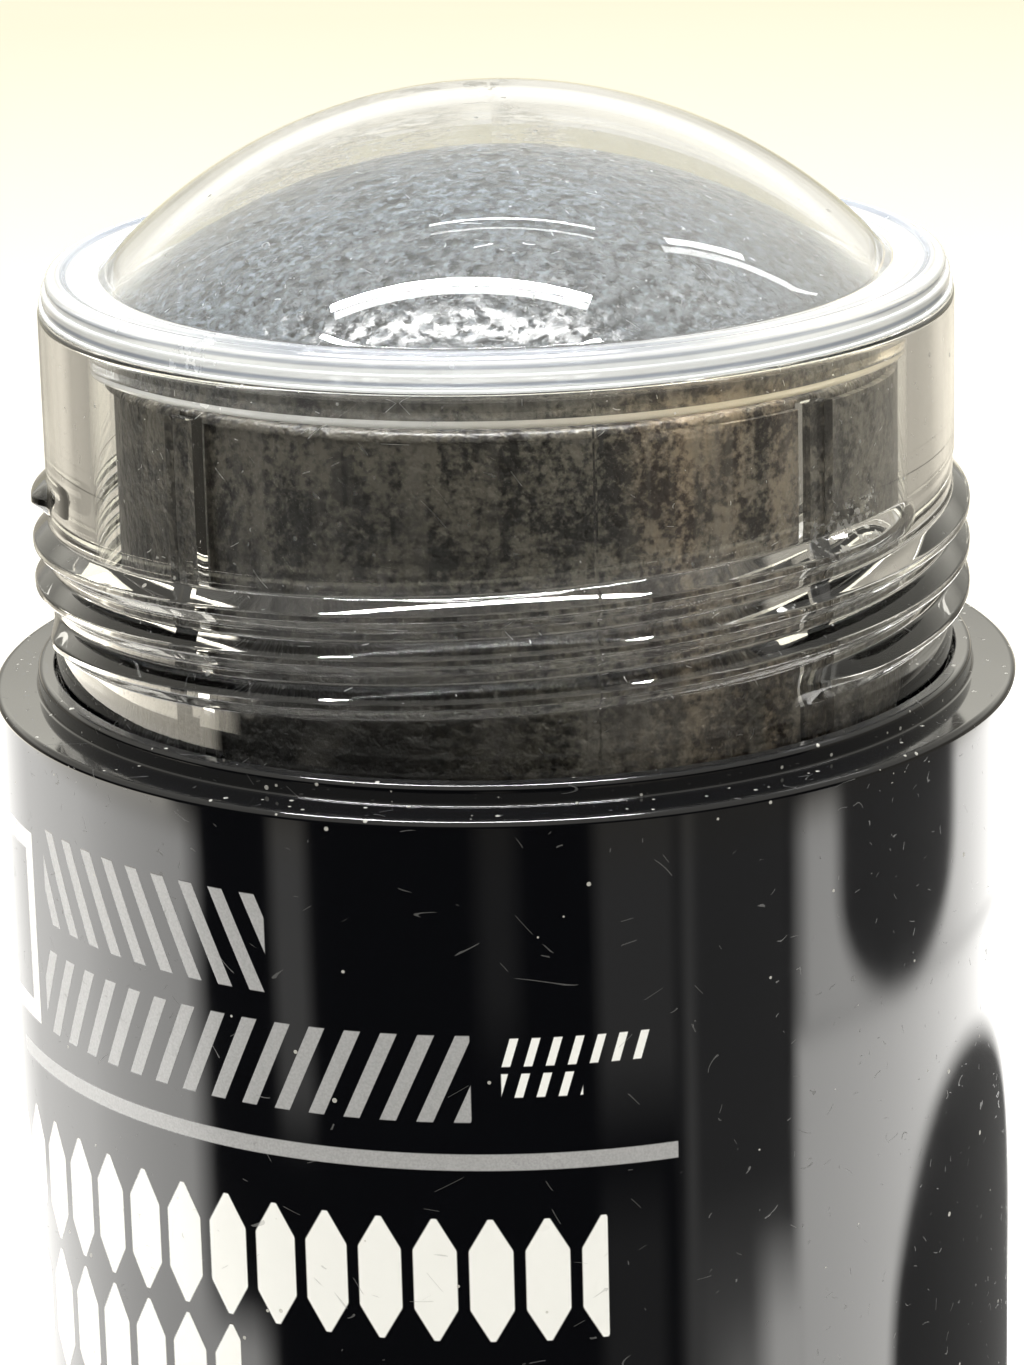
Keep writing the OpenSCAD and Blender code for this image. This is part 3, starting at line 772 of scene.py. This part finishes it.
class STICK_OT_seal(bpy.types.Operator):
    """Turn the clear seal: plug, flange, the channel at the dome's foot, and the dome"""
    bl_idname = "stick.seal"
    bl_label = "Clear seal"

    def execute(self, context):
        plug_r, plug_in = BARREL_R - 0.1, BARREL_R - 1.25
        flange_low = RIM + 0.05
        flange_top, foot, rise, wall = flange_low + 1.37, SEAL_R - 2.98, 8.34, 1.1
        ball = (foot * foot + rise * rise) / (2 * rise)
        centre = flange_top + rise - ball
        t = np.linspace(0.02, 1, 40)
        inner_end = math.asin(plug_in / (ball - wall))
        inner = np.stack([(ball - wall) * np.sin(t * inner_end),
                          centre + (ball - wall) * np.cos(t * inner_end)], -1)
        outer_end = math.asin(foot / ball)
        angles = t[::-1] * outer_end
        outer = np.stack([ball * np.sin(angles), centre + ball * np.cos(angles)], -1)
        beads = []
        for at in (20.9, 20.1):
            beads += [(at + 0.24, flange_top, 0.06), (at + 0.11, flange_top + 0.13, 0.12),
                      (at - 0.11, flange_top + 0.13, 0.12), (at - 0.24, flange_top, 0.06)]
        step_1, step_2 = flange_low + 0.16, flange_low + 0.8
        middle = softened([
            (inner[-2][0], inner[-2][1], 0), (inner[-1][0], inner[-1][1], 0.4),
            (plug_in, SEAL_LOW, 0.3), (plug_r, SEAL_LOW, 0.25), (plug_r, SEAL_LOW + 0.42, 0),
            (plug_r, flange_low, 0.1),
            (SEAL_R, flange_low, 0.05), (SEAL_R, step_1, 0.09), (SEAL_R - 0.14, step_1, 0.03),
            (SEAL_R - 0.14, step_2, 0.13), (SEAL_R - 0.34, step_2, 0.04),
            (SEAL_R - 0.34, flange_top, 0.24), *beads,
            (foot + 0.5, flange_top, 0.1), (foot + 0.1, flange_top - 0.02, 0.2),
            (outer[1][0], outer[1][1], 0)], steps=4, hold=0.02)
        profile = np.vstack([inner[:-2], middle, outer[2:]])
        grid = turned(profile, ring(384))
        piece = skin("clear_seal_dome", grid, crease=50,
                     low_pole=np.array([0, 0, centre + ball - wall]),
                     high_pole=np.array([0, 0, centre + ball]))
        piece.data.materials.append(clear_seal())
        piece.data.materials.append(milky_flange())
        centres = np.empty(len(piece.data.polygons) * 3)
        piece.data.polygons.foreach_get("center", centres)
        reach, high = np.hypot(centres[0::3], centres[1::3]) / MM, centres[2::3] / MM
        milky = (reach > foot + 0.25) & (high > flange_low + 0.04)
        milky |= (reach > plug_in + 0.3) & (high < SEAL_LOW + 0.42)
        piece.data.polygons.foreach_set("material_index", milky.astype(np.int32))
        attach(piece, "seal")
        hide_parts("seal_dome")
        return {"FINISHED"}


class STICK_OT_product(bpy.types.Operator):
    """Shape the product: grooved sides, the step under the plug, and the gritty crown"""
    bl_idname = "stick.product"
    bl_label = "Charcoal product"

    def execute(self, context):
        looks = context.scene.stick_product
        step, crown_low, crown_r = SEAL_LOW - 0.3, CROWN_TOP - 6.4, BARREL_R - 1.55
        groove_tip, groove_half = BARREL_R - 0.85, math.degrees(0.75 / BARREL_R)
        web_top, hole_r, hole_top = STICK_LOW + 4.05, 4.5, 83.0
        azimuths = ring(512, [rib + side for rib in RIBS for side in (-groove_half, groove_half)])
        rise = CROWN_TOP - crown_low
        ball = (crown_r * crown_r + rise * rise) / (2 * rise)
        low = softened([
            (0.4, hole_top, 0), (hole_r, hole_top, 0.1), (hole_r, web_top, 0.1),
            (STICK_R, web_top, 0.3), (STICK_R, SHOULDER - 1, 0)], steps=3)
        side_z = np.linspace(SHOULDER, step - 0.5, 34)
        side = np.stack([np.full_like(side_z, STICK_R), side_z], -1)
        edge = softened([
            (STICK_R, step - 0.45, 0), (STICK_R, step, 0.35), (crown_r, step, 0.15),
            (crown_r, crown_low - 0.4, 0)], steps=4)
        angles = np.linspace(1, 0.012, 118) * math.asin(crown_r / ball)
        crown = np.stack([ball * np.sin(angles), CROWN_TOP - ball + ball * np.cos(angles)], -1)
        profile = np.vstack([low, side, edge, crown])
        grid = turned(profile, azimuths)
        radius = np.hypot(grid[..., 0], grid[..., 1])
        on_groove = (from_ribs(azimuths) < groove_half)[None, :]
        cut = on_groove & (grid[..., 2] < step + 0.01) & (radius > groove_tip)
        grid[..., :2] *= np.where(cut, groove_tip / np.maximum(radius, 1), 1.0)[..., None]
        top = slice(len(profile) - len(crown), len(profile))
        x, y = grid[top, :, 0], grid[top, :, 1]
        pits = lattice_noise(x, y, 0.85, 3) * 0.5 + lattice_noise(x, y, 0.42, 5) * 0.35
        pits = pits + lattice_noise(x, y, 2.6, 8) * 0.35
        fade = smooth((crown_r - np.hypot(x, y)) / 1.2) * 0.75 + 0.25
        grid[top, :, 2] += (np.minimum(pits, 0.45) - 0.45) * looks.grit * 2 * fade
        steep = np.maximum(np.hypot(x, y) - 13.2, 0) ** 2 * np.clip(-y / STICK_R, 0, 1)
        grid[top, :, 2] -= 0.03 * steep
        around = np.radians(azimuths)[None, :] * STICK_R
        rows = slice(len(low), len(low) + len(side))
        rough = lattice_noise(around, side_z[:, None], 0.9, 12) * 0.5
        rough = rough + lattice_noise(around, side_z[:, None], 2.7, 15) * 0.5
        sunk = (0.5 + 0.5 * rough) * 0.014
        free = np.where(cut[rows], 0, 1)
        aside = 0.4 * (np.cos(np.radians(azimuths))[None, :] - 0.25) * free
        grid[rows, :, :2] *= (1 + (aside - sunk) / STICK_R)[..., None]
        piece = skin("charcoal_stick", grid, crease=60,
                     low_pole=np.array([0, 0, hole_top]),
                     high_pole=np.array([0, 0, CROWN_TOP - looks.grit]))
        piece.data.materials.append(charcoal())
        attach(piece, "lift")
        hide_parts("deodorant_stick")
        return {"FINISHED"}


class STICK_OT_works(bpy.types.Operator):
    """Finish the dial and the inner works, whose CAD shapes stay as they are"""
    bl_idname = "stick.works"
    bl_label = "Dial and inner works"

    def execute(self, context):
        natural = natural_plastic()
        for name, material in (("base_dial", black_dial()), ("bearing_plate", plain_black()),
                               ("feed_screw", natural), ("elevator", natural)):
            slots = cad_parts[name].material_slots
            for slot in slots:
                slot.material = material
        return {"FINISHED"}


def pale_backdrop(colour):
    """Pale matt floor: lit as it is written, and shown at full white to the camera and in gloss,
    while the lit part under it keeps the object's shadow. Clear plastic sees its creamy far end."""
    material, net, place = bare_material("Pale floor")
    seen, through = net.direct()
    y = net.read("ShaderNodeSeparateXYZ", {"Vector": place})[1]
    far = net.ramp(y, 0.38, 0.62) | through * 0.85
    tone = net.mix(far, colour, [c * k for c, k in zip(colour, (0.95, 0.925, 0.79))])
    matt = net.put("ShaderNodeBsdfDiffuse", {"Color": net.mix(0.2, tone, (0, 0, 0))})
    glow = net.put("ShaderNodeEmission", {"Color": tone, "Strength": through * -0.17 + 0.55})
    nothing = net.put("ShaderNodeEmission", {"Strength": 0.0})
    total = net.put("ShaderNodeAddShader")
    net.join((matt.outputs[0], net.blend(seen, nothing, glow).outputs[0]), total.inputs)
    net.put("ShaderNodeOutputMaterial", {"Surface": total.outputs[0]})
    return material


# What the gloss mirrors, painted one over the other on a wall round the object: (azimuth from
# the front, low and high, in degrees; height, low and high, in mm; brightness; soft edges)
FLAG_PATCHES = (
    (-165, 165, -20, 84, 0.03, 14, 9), (-168, -98, 50, 82, 0.42, 14, 8),
    (-153, -129, 54, 82, 0.95, 8, 6), (84, 168, 50, 82, 0.46, 14, 8),
    (134, 168, 50, 82, 1.15, 12, 8), (-168, -146, 50, 82, 0.66, 10, 8), (-47, -37, 32, 56, 0.95, 3, 4),
    (-8, 3, 38, 60, 0.22, 4, 5), (14, 32, 33, 60, 0.5, 3, 6), (14, 29, -20, 33, 0.25, 3, 6),
    (29, 57, -20, 60, 0.36, 5, 5), (31, 35, -20, 60, 0.8, 2, 5), (30, 57, -20, 30, 0.9, 6, 8),
    (34, 57, -20, 22, 2.6, 8, 6), (45, 60, -20, 27, 6.0, 5, 7),
    (-160, -60, -20, 53, 4.6, 6, 3), (-160, -96, -20, 53, 2.7, 24, 3),
    (-160, -47, -20, 23, 4.5, 6, 4), (-140, -66, 50, 58, 4.2, 4, 2),
    (54, 160, -20, 39, 6.3, 3, 2), (54, 162, 36, 53, 5.2, 5, 3))

# Tongues over the patches: (azimuth, height of the middle, half width in degrees, height of the
# rounded end in mm, which hangs where it is negative; brightness; soft edge as a share)
FLAG_TONGUES = ((84, 46, 18, -8, 0.32, 0.2), (110, 13, 30, 18, 0.27, 0.12))


def painted(net, level, patch, strength):
    """The level with a patch of that strength laid over it."""
    return net.math("MULTIPLY_ADD", patch, strength, level * (1.0 - patch))


def flag_glow():
    """Glow of the flags. Each patch covers those before it, and where there is none the wall is
    clear, so that the pale floor behind it shows."""
    material, net, place = bare_material("Studio flags")
    _, height, azimuth, _ = net.around(place)
    level, cover = 0.0, 0.0
    for left, right, low, high, strength, soft, blur in FLAG_PATCHES:
        patch = net.band(azimuth, left, right, soft) * net.band(height, low, high, blur)
        level = painted(net, level, patch, strength)
        cover = cover | patch
    for middle, base, half, end, strength, soft in FLAG_TONGUES:
        across = (azimuth - middle) * (1 / half)
        along = (height - base) * (1 / end) | 0.0
        reach = net.math("SQRT", across * across + along * along)
        level = painted(net, level, net.ramp(reach, 1 + soft / 2, 1 - soft / 2), strength)
    tint = net.mix(net.ramp(height, 50, 54), (1.0, 0.985, 0.95), (1.0, 0.93, 0.78))
    glow = net.put("ShaderNodeEmission", {"Color": tint, "Strength": level})
    both = net.blend(cover, net.put("ShaderNodeBsdfTransparent"), glow)
    net.put("ShaderNodeOutputMaterial", {"Surface": both.outputs[0]})
    return material


def back_sheen():
    """Glow of the tall card behind, brightest in a band above the flags."""
    material, net, place = bare_material("Back card")
    _, height, azimuth, _ = net.around(place)
    part = net.ramp(180.0 - abs(azimuth), 75, 25) * (
        net.ramp(height, 150, 182) * net.ramp(height, 260, 195))
    glow = net.put("ShaderNodeEmission", {
        "Color": (1.0, 0.97, 0.86), "Strength": net.ramp(part, 0, 1, 0.95, 2.2)})
    net.put("ShaderNodeOutputMaterial", {"Surface": glow.outputs[0]})
    return material


# Walls for the gloss: (name, azimuth from the front, first and last in degrees; radius, low and
# high in mm; whether light through the clear plastic meets it)
WALLS = (("left_flag", -165, -75, 80, 1, 50, False), ("front_flag", -75, 60, 80, 1, 50, True),
         ("right_flag", 60, 165, 80, 1, 50, False), ("upper_flag", -165, 165, 80, 50, 84, True),
         ("back_card", 105, 255, 330, 95, 420, False))

# Area lamps: (name, place, width, height in mm; energy in watts)
LAMPS = (("overhead_strip", (-50, -22, 500), 350, 15, 1.5),
         ("overhead_core", (-50, -22, 499), 350, 15, 3.0),
         ("rear_strip", (22, 106, 500), 190, 4, 0.07),
         ("upright_strip", (294, 191, 420), 14, 260, 0.2),
         ("front_fill", (0, -420, 330), 300, 200, 0.7))


class STICK_OT_stage(bpy.types.Operator):
    """Set the pale floor, the flags that the gloss mirrors, the lamps and the camera"""
    bl_idname = "stick.stage"
    bl_label = "Stage"

    def execute(self, context):
        looks = context.scene.stick_stage
        self.floor(looks)
        self.flags()
        self.lamps(context, looks)
        self.camera(context)
        return {"FINISHED"}

    def floor(self, looks):
        mesh = bpy.data.meshes.new("floor")
        mesh.from_pydata([(-4, -4, 0), (4, -4, 0), (4, 4, 0), (-4, 4, 0)], [], [(0, 1, 2, 3)])
        mesh.materials.append(pale_backdrop(looks.floor))
        floor = placed("floor", mesh)

    def flags(self):
        """A low wall at 80 mm round the object, open at the back: point (r cos a, r sin a, h).
        Only gloss sees the low sides. Light through the clear plastic meets the rest too.
        Behind stands a taller bright card, which gives the flat rims their sheen."""
        glow, sheen = flag_glow(), back_sheen()
        steps = 90
        for name, first, last, r, low, high, through in WALLS:
            azimuths = np.radians(np.linspace(first, last, steps + 1) - 90)
            levels = np.repeat([low * MM, high * MM], steps + 1)
            x, y = np.tile(r * MM * np.cos(azimuths), 2), np.tile(r * MM * np.sin(azimuths), 2)
            side = np.arange(steps)
            faces = np.stack([side, side + 1, side + steps + 2, side + steps + 1], -1)
            mesh = bpy.data.meshes.new(name)
            mesh.from_pydata(np.stack([x, y, levels], -1).tolist(), [], faces.tolist())
            mesh.materials.append(sheen if name == "back_card" else glow)
            wall = placed(name, mesh)
            wall.visible_camera = wall.visible_diffuse = wall.visible_shadow = False
            wall.visible_volume_scatter = False
            wall.visible_transmission = through

    def lamps(self, context, looks):
        """A wide strip overhead, with a core that only gloss and clear plastic see, a thin one
        behind it and an upright one behind on the right give the dome's highlights. A soft fill
        in front lights the milky rim."""
        for name, place, width, height, energy in LAMPS:
            light = bpy.data.lights.new(name, "AREA")
            light.shape = "RECTANGLE"
            light.size, light.size_y = width * MM, height * MM
            light.energy = energy * looks.lamps
            lamp = placed(name, light)
            lamp.location = Vector(place) * MM
            if name in ("overhead_strip", "overhead_core"):
                lamp.rotation_euler[2] = math.radians(-6.8)
            if name == "overhead_core":
                lamp.visible_diffuse = False
            if name == "front_fill":
                lamp.visible_glossy = lamp.visible_transmission = False
            if name in ("upright_strip", "front_fill"):
                aim = Vector((0, 0, 0.09)) - lamp.location
                lamp.rotation_mode = "QUATERNION"
                lamp.rotation_quaternion = aim.to_track_quat("-Z", "Y")
        context.scene.world = bpy.data.worlds.new("Soft room")
        net = cleared(context.scene.world)
        level = net.ramp(net.direct()[0], 0, 1, 0.55, 1.0)
        sky = net.put("ShaderNodeBackground", {"Color": (1.0, 0.975, 0.89), "Strength": level})
        net.put("ShaderNodeOutputWorld", {"Surface": sky.outputs[0]})

    def camera(self, context):
        """The photograph's camera: 16.9 degrees up, 253 mm away, turned by -1.45 degrees."""
        rise, roll, away = math.radians(16.912), math.radians(-1.447), 252.74
        target = Vector((0.316, 0, 70.861))
        ahead = Vector((0, math.cos(rise), -math.sin(rise)))
        right = Vector((1, 0, 0))
        up = right.cross(ahead)
        side = right * math.cos(roll) + up * math.sin(roll)
        top = up * math.cos(roll) - right * math.sin(roll)
        data = bpy.data.cameras.new("photo_camera")
        data.lens, data.sensor_width, data.sensor_fit = 135.4, 36, "AUTO"
        data.clip_start, data.clip_end = 0.01, 20
        camera = placed("photo_camera", data)
        turn = Matrix((side, top, -ahead)).transposed().to_4x4()
        camera.matrix_world = Matrix.Translation((target - ahead * away) * MM) @ turn
        context.scene.camera = camera
        context.scene.view_settings.view_transform = "Standard"


class STICK_PT_panel(bpy.types.Panel):
    """The stick's sizes and colours, and the steps that build it"""
    bl_idname = "STICK_PT_panel"
    bl_label = "Deodorant stick"
    bl_space_type = "VIEW_3D"
    bl_region_type = "UI"
    bl_category = "Stick"

    def draw(self, context):
        scene = context.scene
        for looks in (scene.stick_shell, scene.stick_clear, scene.stick_product,
                      scene.stick_stage):
            for key in looks.__annotations__:
                self.layout.prop(looks, key)
        for operator in OPERATORS:
            self.layout.operator(operator.bl_idname)


OPERATORS = (STICK_OT_shell, STICK_OT_barrel, STICK_OT_seal, STICK_OT_product, STICK_OT_works,
             STICK_OT_stage)
SETTINGS = (("stick_shell", ShellLooks), ("stick_clear", ClearLooks),
            ("stick_product", ProductLooks), ("stick_stage", StageLooks))


def register():
    for name, group in SETTINGS:
        bpy.utils.register_class(group)
        setattr(bpy.types.Scene, name, bpy.props.PointerProperty(type=group))
    for operator in OPERATORS:
        bpy.utils.register_class(operator)
    bpy.utils.register_class(STICK_PT_panel)


def unregister():
    bpy.utils.unregister_class(STICK_PT_panel)
    for operator in reversed(OPERATORS):
        bpy.utils.unregister_class(operator)
    for name, group in reversed(SETTINGS):
        delattr(bpy.types.Scene, name)
        bpy.utils.unregister_class(group)


def main():
    register()
    for step in (bpy.ops.stick.shell, bpy.ops.stick.barrel, bpy.ops.stick.seal,
                 bpy.ops.stick.product, bpy.ops.stick.works, bpy.ops.stick.stage):
        if step() != {"FINISHED"}:
            raise RuntimeError("a step of the stick did not finish")
    bpy.context.view_layer.update()


if __name__ == "__main__":
    main()
